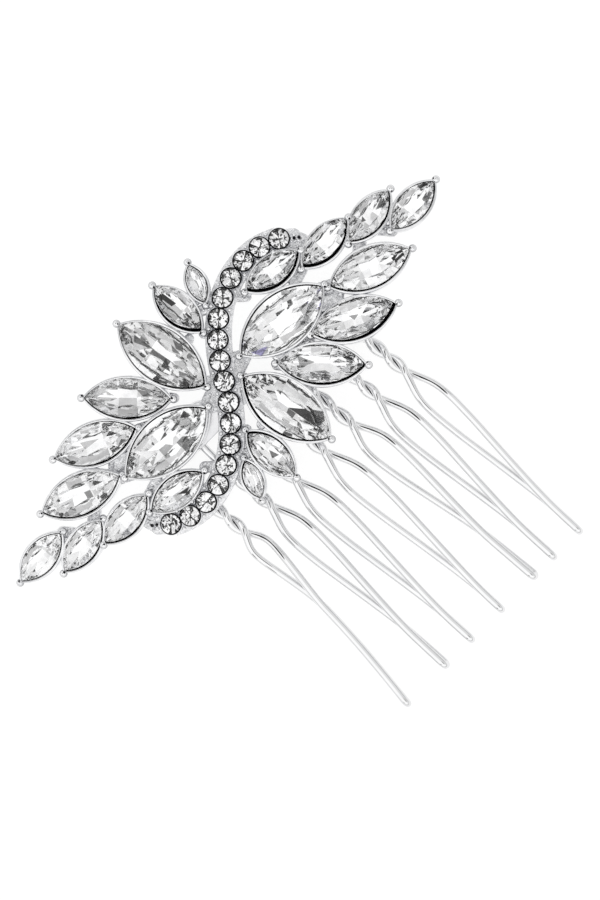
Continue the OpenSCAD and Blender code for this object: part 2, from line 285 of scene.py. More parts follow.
def box_mm(node):
    low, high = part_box(node)
    return np.array(low) / MM, np.array(high) / MM


low, high = box_mm("round_stone_09")
CENTRE_Y = (low[1] + high[1]) / 2
BACK_Z = low[2] - ROUND_CUP_FLOOR
CURVE_CENTRE_Z = BACK_Z - CURVE_RADIUS


def bent(points):
    """Points (along, y, height) of the flat casting, carried onto its curve, in the part's frame."""
    p = np.asarray(points, float).reshape(-1, 3)
    turn = p[:, 0] / CURVE_RADIUS
    reach = CURVE_RADIUS + p[:, 2]
    return np.stack([reach * np.sin(turn), p[:, 1] + CENTRE_Y, CURVE_CENTRE_Z + reach * np.cos(turn)], axis=1)


def flat_spot(point):
    """Where a point of the part lies on the flat casting."""
    return np.array([CURVE_RADIUS * math.atan2(point[0], point[2] - CURVE_CENTRE_Z), point[1] - CENTRE_Y])


def normal_at(x, z):
    turn = math.atan2(x, z - CURVE_CENTRE_Z)
    return np.array([math.sin(turn), 0.0, math.cos(turn)])


class Place:
    """A rigid place: its origin and its three axes, in the part's frame."""

    def __init__(self, origin, x_axis, up):
        self.origin = np.asarray(origin, float)
        up = np.asarray(up, float)
        x_axis = np.asarray(x_axis, float)
        self.up = up / np.linalg.norm(up)
        x_axis = x_axis - self.up * (x_axis @ self.up)
        self.x = x_axis / np.linalg.norm(x_axis)
        self.y = np.cross(self.up, self.x)

    def put(self, points):
        p = np.asarray(points, float).reshape(-1, 3)
        return self.origin + p[:, :1] * self.x + p[:, 1:2] * self.y + p[:, 2:3] * self.up

    def shifted(self, x, y):
        return Place(self.put([(x, y, 0)])[0], self.x, self.up)


def leaf_place(node):
    """Where a leaf stone sits: the middle of its girdle's underside, with +x towards its outer tip."""
    points = np.array([v.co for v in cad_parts[node].data.vertices], float) / MM
    first = points[np.argmax(np.linalg.norm(points - points.mean(0), axis=1))]
    second = points[np.argmax(np.linalg.norm(points - first, axis=1))]
    tips = [points[np.linalg.norm(points - tip, axis=1) < 2 * GIRDLE].mean(0) for tip in (first, second)]
    tips.sort(key=lambda tip: math.hypot(tip[0], tip[1] - CENTRE_Y))
    middle = (tips[0] + tips[1]) / 2
    up = normal_at(middle[0], middle[2])
    return Place(middle - up * GIRDLE / 2, tips[1] - tips[0], up)


def round_place(node):
    """Where a round stone sits: its point, at the floor of its cup."""
    low, high = box_mm(node)
    middle = (low + high) / 2
    up = normal_at(middle[0], middle[2])
    foot = CURVE_RADIUS + ROUND_CUP_FLOOR
    origin = np.array([foot * up[0], middle[1], CURVE_CENTRE_Z + foot * up[2]])
    return Place(origin, (1, 0, 0), up)


def leaf_stones():
    """Each leaf stone's size, its number among its size, its node and its place."""
    for size in LEAF_SIZES:
        for number in range(1, len(SEAT_SHIFTS[size]) + 1):
            node = f"{size}_leaf_stone_{number}"
            yield size, number, node, leaf_place(node)


LEAVES = list(leaf_stones())
ROUND_PLACES = [round_place(f"round_stone_{number:02d}") for number in range(1, ROUNDS + 1)]


# ---- meshes
class Shell:
    """Points in the part's frame, and faces with a material number."""

    def __init__(self):
        self.points, self.faces, self.kinds = [], [], []

    def loft(self, rings, kinds=0, cap_start=True, cap_end=True):
        """Joins closed rings of equal length. kinds is one number, or one for each band."""
        start, n = len(self.points), len(rings[0])
        if isinstance(kinds, int):
            kinds = [kinds] * (len(rings) - 1)
        for ring in rings:
            self.points.extend(np.asarray(ring, float).tolist())
        for band in range(len(rings) - 1):
            a, b = start + band * n, start + (band + 1) * n
            for k in range(n):
                m = (k + 1) % n
                self.faces.append((a + k, a + m, b + m, b + k))
                self.kinds.append(kinds[band])
        if cap_start:
            self.faces.append(tuple(start + k for k in reversed(range(n))))
            self.kinds.append(kinds[0])
        if cap_end:
            self.faces.append(tuple(start + (len(rings) - 1) * n + k for k in range(n)))
            self.kinds.append(kinds[-1])

    def ball(self, centre, radius, up=(0, 0, 1), sides=20, kind=0, foot=0):
        """A ball with one material on its cap and another on its foot."""
        place = Place(centre, (1, 0.001, 0), up)
        rows = sides // 2
        turns = [2 * math.pi * k / sides for k in range(sides)]
        rings, kinds = [], []
        for row in range(1, rows):
            tilt = math.pi * row / rows
            rings.append(place.put([
                (radius * math.sin(tilt) * math.cos(t), radius * math.sin(tilt) * math.sin(t),
                 -radius * math.cos(tilt)) for t in turns]))
            kinds.append(foot if (row + 0.5) / rows < 1 - FOOT_START / 180 else kind)
        self.loft(rings, kinds, False, False)
        start = len(self.points)
        self.points.extend(place.put([(0, 0, -radius), (0, 0, radius)]).tolist())
        first, last = start - sides * (rows - 1), start - sides
        for k in range(sides):
            m = (k + 1) % sides
            self.faces.append((start, first + m, first + k))
            self.faces.append((start + 1, last + k, last + m))
            self.kinds.extend([foot, kind])

    def piece(self, name, materials, nodes, slot, sharp=40):
        """Makes the piece. Edges that turn by more than sharp degrees stay sharp."""
        mesh = bpy.data.meshes.new(name)
        mesh.from_pydata([tuple(c * MM for c in p) for p in self.points], [], self.faces)
        for material in materials:
            mesh.materials.append(material)
        mesh.polygons.foreach_set("material_index", self.kinds)
        mesh.polygons.foreach_set("use_smooth", [True] * len(self.faces))
        mesh.validate()
        mesh.set_sharp_from_angle(angle=math.radians(sharp))
        return shown(name, mesh, nodes)


def shown(name, mesh, nodes):
    piece = bpy.data.objects.new(name, mesh)
    bpy.context.scene.collection.objects.link(piece)
    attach(piece, "root")
    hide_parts(*nodes)
    return piece


def arc_radius(length, width):
    """Radius of each of the two arcs that make a leaf outline."""
    return (length * length + width * width) / (4 * width)


def leaf_outline(length, width, steps=26):
    """Two equal arcs that meet in points, from the outer tip along one side and back along the other."""
    radius = arc_radius(length, width)
    half = math.asin(length / 2 / radius)
    turns = [half - 2 * half * k / steps for k in range(steps)]
    side = [(radius * math.sin(t), radius * math.cos(t) - radius + width / 2) for t in turns]
    return side + [(-x, -y) for x, y in side]


# ---- materials
def rgba(tone):
    """A colour with its alpha, from a grey level or from red, green and blue."""
    return (*tone, 1) if isinstance(tone, tuple) else (tone, tone, tone, 1)


def nodes_of(material):
    material.use_nodes = True
    tree = material.node_tree
    return tree, tree.nodes["Principled BSDF"]


def noise_node(tree, scale, detail=4.0, roughness=0.55):
    """Noise over the object's own coordinates, which are in metres."""
    texture = tree.nodes.new("ShaderNodeTexNoise")
    texture.inputs["Scale"].default_value = scale
    texture.inputs["Detail"].default_value = detail
    texture.inputs["Roughness"].default_value = roughness
    coords = tree.nodes.new("ShaderNodeTexCoord")
    tree.links.new(coords.outputs["Object"], texture.inputs["Vector"])
    return texture.outputs["Fac"]


def ramp(tree, source, stops):
    node = tree.nodes.new("ShaderNodeValToRGB")
    elements = node.color_ramp.elements
    while len(elements) < len(stops):
        elements.new(0.5)
    for element, (at, tone) in zip(elements, stops):
        element.position = at
        element.color = rgba(tone)
    tree.links.new(source, node.inputs["Fac"])
    return node.outputs["Color"]


def bump(tree, shader, height, strength, distance):
    node = tree.nodes.new("ShaderNodeBump")
    node.inputs["Strength"].default_value = strength
    node.inputs["Distance"].default_value = distance
    tree.links.new(height, node.inputs["Height"])
    tree.links.new(node.outputs["Normal"], shader.inputs["Normal"])


def metal(name, light, dark, rough, grain, wear_scale=220.0):
    """Plated metal: two close tones in soft patches, uneven gloss, and a fine grain.

    rough is the least and the most roughness. grain is the grain's scale, strength and depth in metres.
    """
    material = bpy.data.materials.new(name)
    tree, shader = nodes_of(material)
    shader.inputs["Metallic"].default_value = 1.0
    patches = noise_node(tree, wear_scale, 3.0)
    tree.links.new(ramp(tree, patches, [(0.3, dark), (0.7, light)]), shader.inputs["Base Color"])
    smear = noise_node(tree, wear_scale * 3, 5.0)
    tree.links.new(ramp(tree, smear, [(0.3, rough[0]), (0.75, rough[1])]), shader.inputs["Roughness"])
    scale, strength, depth = grain
    bump(tree, shader, noise_node(tree, scale, 6.0, 0.6), strength, depth)
    return material


def crystal(name, tint):
    """Clear lead glass, with the faintest tint and polishing haze."""
    material = bpy.data.materials.new(name)
    tree, shader = nodes_of(material)
    shader.inputs["IOR"].default_value = 1.56
    shader.inputs["Transmission Weight"].default_value = 1.0
    haze = noise_node(tree, 900.0, 3.0)
    tree.links.new(ramp(tree, haze, [(0.4, tint), (0.6, (1.0, 1.0, 1.0))]), shader.inputs["Base Color"])
    tree.links.new(ramp(tree, haze, [(0.45, 0.0), (0.8, 0.02)]), shader.inputs["Roughness"])
    return material


def foil(name):
    """Silvered back of a stone. Each facet has its own tone, kept in the mesh, as painted reflection, with
    faint streaks.
    """
    material = bpy.data.materials.new(name)
    tree, shader = nodes_of(material)
    shader.inputs["Metallic"].default_value = 1.0
    tone = tree.nodes.new("ShaderNodeAttribute")
    tone.attribute_name = "tone"
    streaks = noise_node(tree, 600.0, 4.0)
    mix = tree.nodes.new("ShaderNodeMix")
    mix.data_type = "RGBA"
    mix.blend_type = "MULTIPLY"
    mix.inputs["Factor"].default_value = 1.0
    # Inputs 6 and 7 and output 2 are the colour ones
    tree.links.new(tone.outputs["Color"], mix.inputs[6])
    tree.links.new(ramp(tree, streaks, [(0.35, 0.88), (0.6, 1.0)]), mix.inputs[7])
    tree.links.new(mix.outputs[2], shader.inputs["Base Color"])
    tree.links.new(ramp(tree, streaks, [(0.4, 0.02), (0.8, 0.07)]), shader.inputs["Roughness"])
    return material


PLATING = metal("cast_plating", light=(0.88, 0.88, 0.885), dark=(0.7, 0.705, 0.72), rough=(0.03, 0.09),
                grain=(2600.0, 0.1, 0.00003), wear_scale=500.0)
GRAINY = metal("grainy_casting", light=(0.93, 0.93, 0.94), dark=(0.58, 0.585, 0.6), rough=(0.16, 0.34),
               grain=(2600.0, 0.8, 0.0002), wear_scale=1500.0)
# Near-black metal: painted shade in cups, pits and twists, and painted dark reflection in the tip balls'
# spots
PAINTED_DARK = metal("painted_dark_shade_and_reflection", light=(0.02, 0.02, 0.023), dark=(0.006, 0.006, 0.008), rough=(0.35, 0.6),
               grain=(1500.0, 0.3, 0.00008))
WIRE = metal("wire_plating", light=(0.82, 0.82, 0.825), dark=(0.76, 0.763, 0.77), rough=(0.02, 0.06),
             grain=(1400.0, 0.02, 0.00001), wear_scale=120.0)
PLATE = metal("plate_plating", light=(0.74, 0.74, 0.75), dark=(0.62, 0.625, 0.64), rough=(0.18, 0.32),
              grain=(2200.0, 0.3, 0.00006), wear_scale=160.0)
# Darker metal for the lower part of the tip balls: painted shade
BALL_FOOT_SHADE = metal("ball_foot_painted_shade", light=(0.56, 0.56, 0.57), dark=(0.4, 0.403, 0.415), rough=(0.08, 0.2),
                  grain=(2600.0, 0.1, 0.00003), wear_scale=900.0)
LEAF_CRYSTAL = crystal("leaf_crystal", (0.985, 0.988, 1.0))
ROUND_CRYSTAL = crystal("round_crystal", (0.985, 0.985, 1.0))
FOIL = foil("stone_foil")
CLEAR, FOILED = 0, 1
GLASS = (CLEAR, GLASS_TONE)
CUT_TOLERANCE = 1e-5


# ---- stones
def facet(azimuth, slope, down=False):
    """Outward normal of a facet that faces this way in plan and leans this far from level."""
    a, s = math.radians(azimuth), math.radians(slope)
    rise = -math.cos(s) if down else math.cos(s)
    return np.array([math.sin(s) * math.cos(a), math.sin(s) * math.sin(a), rise])


def mark_foil(bm, tones, tone, outline):
    """Gives the foil inside an outline, seen from above, a tone of its own: a painted reflection."""
    turns = list(zip(outline, outline[1:] + outline[:1]))
    for start, end in turns:
        across = Vector((end[1] - start[1], start[0] - end[0], 0)).normalized()
        foils = [face for face in bm.faces if face.material_index == FOILED]
        edges = {edge for face in foils for edge in face.edges}
        verts = {vert for face in foils for vert in face.verts}
        bmesh.ops.bisect_plane(bm, geom=foils + list(edges) + list(verts), plane_co=(*start, 0),
                               plane_no=across, dist=CUT_TOLERANCE)
    for face in bm.faces:
        at = face.calc_center_median()
        sides = [(b[0] - a[0]) * (at.y - a[1]) - (b[1] - a[1]) * (at.x - a[0]) for a, b in turns]
        if face.material_index == FOILED and (min(sides) > 0 or max(sides) < 0):
            face[tones] = rgba(tone)


def cut_stone(name, planes, block, place, crystal_material, node, marks=()):
    """Cuts a block by one plane after another. Each plane: normal, distance, CLEAR or FOILED, tone."""
    bm = bmesh.new()
    bmesh.ops.create_cube(bm, size=block)
    tones = bm.faces.layers.float_color.new("tone")
    for face in bm.faces:
        face[tones] = rgba(GLASS_TONE)
    for normal, distance, kind, tone in planes:
        normal = Vector(normal)
        everything = bm.verts[:] + bm.edges[:] + bm.faces[:]
        cut = bmesh.ops.bisect_plane(bm, geom=everything, plane_co=normal * distance, plane_no=normal,
                                     clear_outer=True, dist=CUT_TOLERANCE)["geom_cut"]
        edges = [e for e in cut if isinstance(e, bmesh.types.BMEdge)]
        if len(edges) < 3:
            continue
        for face in bmesh.ops.edgeloop_fill(bm, edges=edges)["faces"]:
            face.material_index = kind
            face[tones] = rgba(tone)
            face.smooth = False
    for tone, *outline in marks:
        mark_foil(bm, tones, tone, outline)
    bmesh.ops.recalc_face_normals(bm, faces=bm.faces)
    moved = place.put([v.co for v in bm.verts]) * MM
    for vert, point in zip(bm.verts, moved):
        vert.co = point
    mesh = bpy.data.meshes.new(name)
    bm.to_mesh(mesh)
    bm.free()
    mesh.materials.append(crystal_material)
    mesh.materials.append(FOIL)
    return shown(name, mesh, [node])


def leaf_planes(length, width, depth, height, rng, tones):
    """Facets of a leaf (navette) cut, for a stone whose girdle's underside is at z = 0."""
    radius = arc_radius(length, width)
    tip = math.degrees(math.acos(length / 2 / radius))

    def support(azimuth):
        """How far the outline reaches towards this side."""
        a = math.radians(azimuth)
        return radius - (radius - width / 2) * abs(math.sin(a))

    def spread(count, inset):
        """Azimuths across one side of the outline, from near one tip to near the other."""
        return [tip + inset + (180 - 2 * tip - 2 * inset) * k / (count - 1) for k in range(count)]

    def wobble(amount):
        return rng.uniform(-amount, amount)

    planes = [(facet(a * side, 90), support(a), *GLASS)
              for a in spread(GIRDLE_FACETS, 0.5) for side in (1, -1)]
    planes += [((end, 0, 0), length / 2 - TIP_CUT, *GLASS) for end in (1, -1)]
    planes.append(((0, 0, 1), height - TABLE_TRIM, *GLASS))
    table_inset = (height - GIRDLE) / math.tan(math.radians(CROWN_SLOPE)) * TABLE_EDGE
    for side in (1, -1):
        for count, inset, lean, lean_wobble, from_girdle in CROWN_RINGS:
            for a in spread(count, inset):
                slope = lean + wobble(lean_wobble)
                n = facet(side * (a + wobble(1.0)), slope)
                if from_girdle:
                    reach, level = support(a), GIRDLE
                else:
                    reach, level = support(a) - table_inset, height
                distance = reach * sine(slope) + level * n[2]
                planes.append((n, distance, *GLASS))
    keel = KEEL_REACH * length
    deep = KEEL_DEPTH * depth
    for side in (1, -1):
        for a in spread(FOIL_FACETS, FOIL_INSET):
            at = keel * (1 if a < 90 else -1)
            run = support(a) - at * math.cos(math.radians(a))
            slope = math.degrees(math.atan2(deep - FOIL_RIM_DEPTH, run)) + wobble(0.8)
            n = facet(side * (a + wobble(1.5)), slope, down=True)
            planes.append((n, n[0] * at - n[2] * deep, FOILED, rng.choice(tones)))
        for a in spread(FOIL_FACETS, FOIL_INSET):
            slope = FOIL_EDGE_SLOPE + wobble(1.5)
            n = facet(side * (a + wobble(1.0)), slope, down=True)
            planes.append((n, support(a) * sine(slope), FOILED, rng.choice(tones)))
    return planes


def round_planes(rng):
    """Facets of a round brilliant (chaton) whose point is at z = 0."""
    r = ROUND_D / 2 - ROUND_TRIM
    girdle_low, girdle_high = ROUND_DEPTH, ROUND_DEPTH + GIRDLE
    top = ROUND_DEPTH + ROUND_CROWN
    planes = [(facet(360 / ROUND_SIDES * k, 90), r, *GLASS) for k in range(ROUND_SIDES)]
    planes.append(((0, 0, 1), top, *GLASS))
    turn = rng.uniform(0, 45)
    # One half facet of the foil is painted black as a reflection
    dark = rng.randrange(16)
    for k in range(8):
        slope = ROUND_MAIN_SLOPE + rng.uniform(-1, 1)
        n = facet(45 * k + turn, slope)
        planes.append((n, r * sine(slope) + girdle_high * n[2], *GLASS))
        n = facet(45 * k + turn + 22.5, ROUND_STAR_SLOPE)
        planes.append((n, ROUND_STAR_REACH * sine(ROUND_STAR_SLOPE) + top * n[2], *GLASS))
        for half in (0, 1):
            azimuth = 45 * k + turn + 22.5 * half - 11.25
            n = facet(azimuth, ROUND_HALF_SLOPE)
            planes.append((n, r * sine(ROUND_HALF_SLOPE) + girdle_high * n[2], *GLASS))
            n = facet(azimuth, ROUND_FOIL_HALF_SLOPE + rng.uniform(-0.2, 0.2), down=True)
            tone = BLACK_TONE if 2 * k + half == dark else rng.choice(ROUND_FOIL_HALF_TONES)
            planes.append((n, r * math.hypot(n[0], n[1]) + girdle_low * n[2], FOILED, tone))
        n = facet(45 * k + turn, ROUND_FOIL_SLOPE, down=True)
        planes.append((n, n[2] * ROUND_POINT_HEIGHT, FOILED, rng.choice(ROUND_FOIL_TONES)))
    # The flat at the point is painted black as a reflection
    planes.append(((0, 0, -1), -CULET_HEIGHT, FOILED, BLACK_TONE))
    return planes


def round_marks(rng):
    """Black wedges of painted reflection in the foil of a round stone: four round its edge and two by its
    middle.
    """
    marks = []
    for inner, outer, half in ROUND_WEDGES:
        turn = rng.uniform(0, 360)
        wedge = [(outer, turn - half), (outer, turn + half), (inner, turn + half), (inner, turn - half)]
        corners = []
        for radius, azimuth in wedge:
            a = math.radians(azimuth)
            corners.append((radius * math.cos(a), radius * math.sin(a)))
        marks.append((BLACK_TONE, *corners))
    return marks


for size, number, node, place in LEAVES:
    length, width, depth, height = LEAF_SIZES[size]
    rng = random.Random(node)
    side, shift = SEAT_SHIFTS[size][number - 1]
    side = math.radians(side)
    seat = place.shifted(-shift * math.cos(side), -shift * math.sin(side))
    slim = 2 * STONE_GAP + STONE_TRIM
    tones = PALE_FOIL_TONES if number in PALE.get(size, ()) else FOIL_TONES
    planes = leaf_planes(length - slim, width - slim, depth, height, rng, tones)
    cut_stone(f"{size}_crystal_{number}", planes, 3 * length, seat, LEAF_CRYSTAL, node,
              MARKS.get((size, number), ()))

for number, place in enumerate(ROUND_PLACES, 1):
    node = f"round_stone_{number:02d}"
    rng = random.Random(node)
    planes = round_planes(rng)
    cut_stone(f"round_crystal_{number:02d}", planes, ROUND_BLOCK, place, ROUND_CRYSTAL,
              node, round_marks(rng))


# ---- casting
def leaf_cup(size, number, place):
    """Cup of one leaf stone, with a thin bright lip round a recess painted near-black as shade."""
    length, width, depth, _ = LEAF_SIZES[size]
    floor, top = -depth, GIRDLE
    back = -depth - CUP_FLOOR
    # Distance out from the stone's outline, and height
    outside = [(-1.2, back), (0.22, back + 0.02), (0.38, back + 0.12), (0.46, back + 0.35),
               (CUP_WALL, back + 0.8), (CUP_WALL, top - 0.6), (0.48, top - 0.35), (0.43, top - 0.14),
               (0.37, top - 0.04), (0.28, top), (0.12, top), (0.06, top - 0.03), (0.02, top - 0.1)]
    inside = [(0.02, top - 0.2), (0.02, top - 0.5), (0.0, floor + 0.8), (-0.1, floor + 0.1), (-0.5, floor)]
    rings = [place.put([(x, y, z) for x, y in leaf_outline(length + 2 * out, width + 2 * out)])
             for out, z in outside + inside]
    shell = Shell()
    # The rings of the inside get the near-black painted shade
    shell.loft(rings, [0] * (len(outside) - 1) + [1] * len(inside))
    shell.piece(f"{size}_cup_{number}", [PLATING, PAINTED_DARK], ["cast_frame"], "cast_plating")


def tip_ball(shell, size, place, end, rng):
    """The ball on one tip of a leaf cup, with a dark spot on the side towards the stone: a painted
    reflection.
    """
    middle = np.array([end * (LEAF_SIZES[size][0] / 2 + CUP_WALL), 0, -BALL_DROP])
    radius = BALL_D / 2 - BALL_TRIM
    # Its lower part gets the darker painted-shade metal
    shell.ball(place.put([middle])[0], radius, place.up, sides=28, foot=1)
    turn = math.radians(rng.uniform(-SPOT_TURN, SPOT_TURN))
    lean = math.radians(rng.uniform(*SPOT_LEAN))
    towards = np.array([-end * math.cos(turn) * math.sin(lean), math.sin(turn) * math.sin(lean),
                        math.cos(lean)])
    spot_radius = rng.uniform(*SPOT_RADIUS)
    spot = middle + (radius - spot_radius + SPOT_PROUD) * towards
    shell.ball(place.put([spot])[0], spot_radius, place.up, sides=20, kind=2, foot=2)


balls = Shell()
# The seed's name says tarnish, but the spots it places are painted reflections of a dark thing
rng = random.Random("tarnish")
for size, number, node, place in LEAVES:
    leaf_cup(size, number, place)
    for end in (1, -1):
        tip_ball(balls, size, place, end, rng)
balls.piece("tip_balls", [PLATING, BALL_FOOT_SHADE, PAINTED_DARK], ["cast_frame"], "cast_plating")


def ring_of(place, radius, z, sides=40):
    turns = [2 * math.pi * k / sides for k in range(sides)]
    return place.put([(radius * math.cos(t), radius * math.sin(t), z) for t in turns])


cups = Shell()
top = ROUND_DEPTH - 0.1
outer = ROUND_D / 2 + ROUND_CUP_WALL
# Radius and height
outside = [(outer - 0.5, -ROUND_CUP_FLOOR), (outer - 0.1, -ROUND_CUP_FLOOR + 0.1), (outer, -0.3),
           (outer, 0.6), (outer - 0.06, top - 0.5), (outer - 0.14, top - 0.16), (outer - 0.2, top - 0.06)]
# The inside of a round cup is near-black: painted shade
inside = [(outer - 0.26, top), (outer - 0.36, top), (outer - 0.38, top - 0.3), (outer - 0.5, 0.6),
          (outer - 0.8, 0.05), (0.3, 0.0)]
for place in ROUND_PLACES:
    rings = [ring_of(place, r, z) for r, z in outside + inside]
    cups.loft(rings, [0] * (len(outside) - 1) + [1] * len(inside))
cups.piece("round_cups", [PLATING, PAINTED_DARK], ["cast_frame"], "cast_plating")

beads = Shell()
for here, following in zip(ROUND_PLACES, ROUND_PLACES[1:]):
    middle = (here.origin + following.origin) / 2
    up = here.up + following.up
    run = Place(middle, following.origin - here.origin, up)
    for side in (-1, 1):
        spot = run.put([(0, side * (ROUND_D / 2 - BEAD_INSET), ROUND_DEPTH - BEAD_DROP)])[0]
        beads.ball(spot, BEAD_RADIUS, up, sides=16)
beads.piece("row_beads", [PLATING], ["cast_frame"], "cast_plating")


def along_row(share):
    """Place on a smooth curve through the round stones, this many stones from the first, x along it."""
    last = ROUNDS - 1
    i = min(int(share), last - 1)
    before, after = ROUND_PLACES[max(i - 1, 0)].origin, ROUND_PLACES[min(i + 2, last)].origin
    here, following = ROUND_PLACES[i].origin, ROUND_PLACES[i + 1].origin
    f = share - i
    rise = following - before
    bow = 2 * before - 5 * here + 4 * following - after
    twist = 3 * here - before - 3 * following + after
    point = 0.5 * (2 * here + rise * f + bow * f * f + twist * f**3)
    ahead = 0.5 * (rise + 2 * bow * f + 3 * twist * f * f)
    return Place(point, ahead, normal_at(point[0], point[2]))


def row_strip():
    """The flat strip under the round stones, with a channel that leaves their points free."""
    half, low, high = 2.3, 0.12 - ROUND_CUP_FLOOR, 1.3 - ROUND_CUP_FLOOR
    right = [(half - 0.2, low), (half, low + 0.2), (half, high - 0.25), (half - 0.07, high - 0.08),
             (half - 0.25, high), (1.05, high), (0.9, -0.15)]
    section = right + [(-x, z) for x, z in reversed(right)]
    steps = 4
    places = [along_row(k / steps) for k in range(steps * (ROUNDS - 1) + 1)]
    rings = [place.put([(0, x, z) for x, z in section]) for place in places]
    strip = Shell()
    strip.loft(rings[::-1], 0)
    strip.piece("row_strip", [GRAINY], ["cast_frame"], "cast_plating")


row_strip()


class Hollow(NamedTuple):
    """Where a leaf stone sits on the flat casting."""

    middle: np.ndarray
    along: np.ndarray
    length: float
    width: float


def leaf_hollow(size, place):
    length, width, _, _ = LEAF_SIZES[size]
    tip, heel = (flat_spot(place.put([(end * length / 2, 0, 0)])[0]) for end in (1, -1))
    return Hollow((tip + heel) / 2, (tip - heel) / length, length, width)


ROUND_SPOTS = [flat_spot(place.origin) for place in ROUND_PLACES]
HOLLOWS = [leaf_hollow(size, place) for size, number, node, place in LEAVES]


def in_leaf_hollow(spot, margin=0.0):
    for hollow in HOLLOWS:
        away = spot - hollow.middle
        x = away @ hollow.along
        y = abs(hollow.along[0] * away[1] - hollow.along[1] * away[0])
        radius = arc_radius(hollow.length, hollow.width)
        if abs(x) < hollow.length / 2 + margin:
            reach = math.sqrt(radius * radius - x * x) - radius + hollow.width / 2
            if y < reach + margin:
                return True
    return False


def room_under_stones(spot):
    """How high a web may stand at this spot without reaching into a stone."""
    if in_leaf_hollow(spot):
        return CUP_FLOOR - WEB_CLEARANCE
    gap = min(np.linalg.norm(spot - middle) for middle in ROUND_SPOTS)
    if gap < ROUND_D / 2:
        return ROUND_CUP_FLOOR - WEB_CLEARANCE + 0.75 * max(gap - 0.3, 0)
    return math.inf


def rough_mound(shell, start, end, width, thickness, seed):
    """A cast bar with rounded shoulders and a lumpy top, between two places on the flat casting."""
    start, end = np.array(start, float), np.array(end, float)
    run = end - start
    length = np.linalg.norm(run)
    along = run / length
    across = np.array([-along[1], along[0]])
    half = width / 2
    turns = [math.pi * k / 16 - math.pi / 2 for k in range(17)]
    shares = np.linspace(0, 1, max(3, round(length / WEB_STEP)))[1:-1]
    spine = []
    for centre, way in ((end, 1), (start, -1)):
        spine += [(centre, way * (math.cos(t) * along + math.sin(t) * across)) for t in turns]
        spine += [(centre - way * share * run, way * across) for share in shares]

    def stadium(inset, z, lumps):
        ring = []
        for centre, outward in spine:
            spot = centre + max(half - inset, 0.02) * outward
            lift = lumps * noise.noise(Vector((spot[0] * LUMPS_PER_MM, spot[1] * LUMPS_PER_MM, seed)))
            ring.append((spot[0], spot[1], min(z + lift, room_under_stones(spot))))
        return bent(ring)

    # Inset from the edge, height for a web of the usual thickness, and height of the lumps
    profile = [(0.15, 0.02, 0), (0.0, 0.25, 0), (0.0, 0.8, 0.05), (0.08, 1.05, 0.12), (0.25, 1.2, 0.25),
               (0.5, 1.26, 0.35), (0.75, 1.26, 0.35), (half, 1.26, 0.35)]
    scale = thickness / WEB_THICKNESS
    shell.loft([stadium(inset, z * scale, lumps) for inset, z, lumps in profile], 0)


def scatter_grains(shell, start, end, width, rng):
    """Small balls on a web, away from the stones."""
    run = np.subtract(end, start)
    across = np.array([-run[1], run[0]]) / np.linalg.norm(run)
    for _ in range(GRAINS_PER_WEB):
        share, off = rng.random(), rng.uniform(-GRAIN_SPREAD, GRAIN_SPREAD) * width
        spot = np.array(start) + share * run + off * across
        radius = rng.uniform(*GRAIN_RADIUS)
        if room_under_stones(spot) == math.inf and not in_leaf_hollow(spot, radius):
            centre = bent([(spot[0], spot[1], WEB_THICKNESS - GRAIN_SINK * radius)])[0]
            shell.ball(centre, radius, sides=10)


def tail(webs, grains, side):
    """Tail past one end of the row of round stones: mounds that get smaller, beads, and pits made as
    near-black balls, which are painted shade.
    """
    points = [(side * x, side * y) for x, y in TAIL]
    for index, (start, end) in enumerate(zip(points, points[1:])):
        width, height = TAIL_WIDTH - TAIL_WIDTH_STEP * index, TAIL_HEIGHT - TAIL_HEIGHT_STEP * index
        rough_mound(webs, start, end, width, height, TAIL_SEED + index)
    for index, (x, y) in enumerate(points[1:]):
        height = TAIL_HEIGHT - TAIL_BEAD_SINK - TAIL_HEIGHT_STEP * index
        grains.ball(bent([(x, y, height)])[0], TAIL_BEAD_RADIUS - TAIL_BEAD_STEP * index, sides=16)
    for x, y in TAIL_PITS:
        grains.ball(bent([(side * x, side * y, PIT_HEIGHT)])[0], PIT_RADIUS, sides=12, kind=1, foot=1)


webs = Shell()
grains = Shell()
rng = random.Random("grains")
for side in (1, -1):
    for index, (x0, y0, x1, y1, width) in enumerate(WEBS):
        start, end = (side * x0, side * y0), (side * x1, side * y1)
        rough_mound(webs, start, end, width, WEB_THICKNESS, index)
        scatter_grains(grains, start, end, width, rng)
    tail(webs, grains, side)
webs.piece("webs", [GRAINY], ["cast_frame"], "cast_plating")
grains.piece("grains", [PLATING, PAINTED_DARK], ["cast_frame"], "cast_plating")

# ---- comb wire
# Heights here are above the back of the casting, and s is the distance down from the last crossing
WIRE_LEVEL = -PLATE_THICKNESS - WIRE_D / 2
TIP_LEVEL = WIRE_D / 2 + STRAND_R - BACK_Z
TWIST_START = LAST_CROSSING_Y - TWIST_TOP_Y
EYE_END = TOOTH_LENGTH - WIRE_D / 2 - STRAND_R
EYE_SHARES, EYE_WIDTHS = zip(*EYE)


def wire_level(tooth):
    """Height of a tooth's twist, behind the curved casting."""
    sag = CURVE_RADIUS * (1 - math.cos(tooth.crossing_x / CURVE_RADIUS))
    return WIRE_LEVEL - sag


def eye_width(share):
    """How open an eye is here, averaged over its neighbourhood."""
    reaches = (-0.05, -0.025, 0, 0.025, 0.05)
    weights = (1, 2, 3, 2, 1)
    widths = [np.interp(share + reach, EYE_SHARES, EYE_WIDTHS) for reach in reaches]
    return sum(weight * width for weight, width in zip(weights, widths)) / sum(weights)


def twist_point(tooth, strand, s):
    turn = math.pi * s / HALF_TWIST
    x = tooth.crossing_x + TWIST_LEAN * s - strand * STRAND_R * math.sin(turn)
    z = wire_level(tooth) + strand * STRAND_R * math.cos(turn)
    return np.array([x, LAST_CROSSING_Y - s, z])


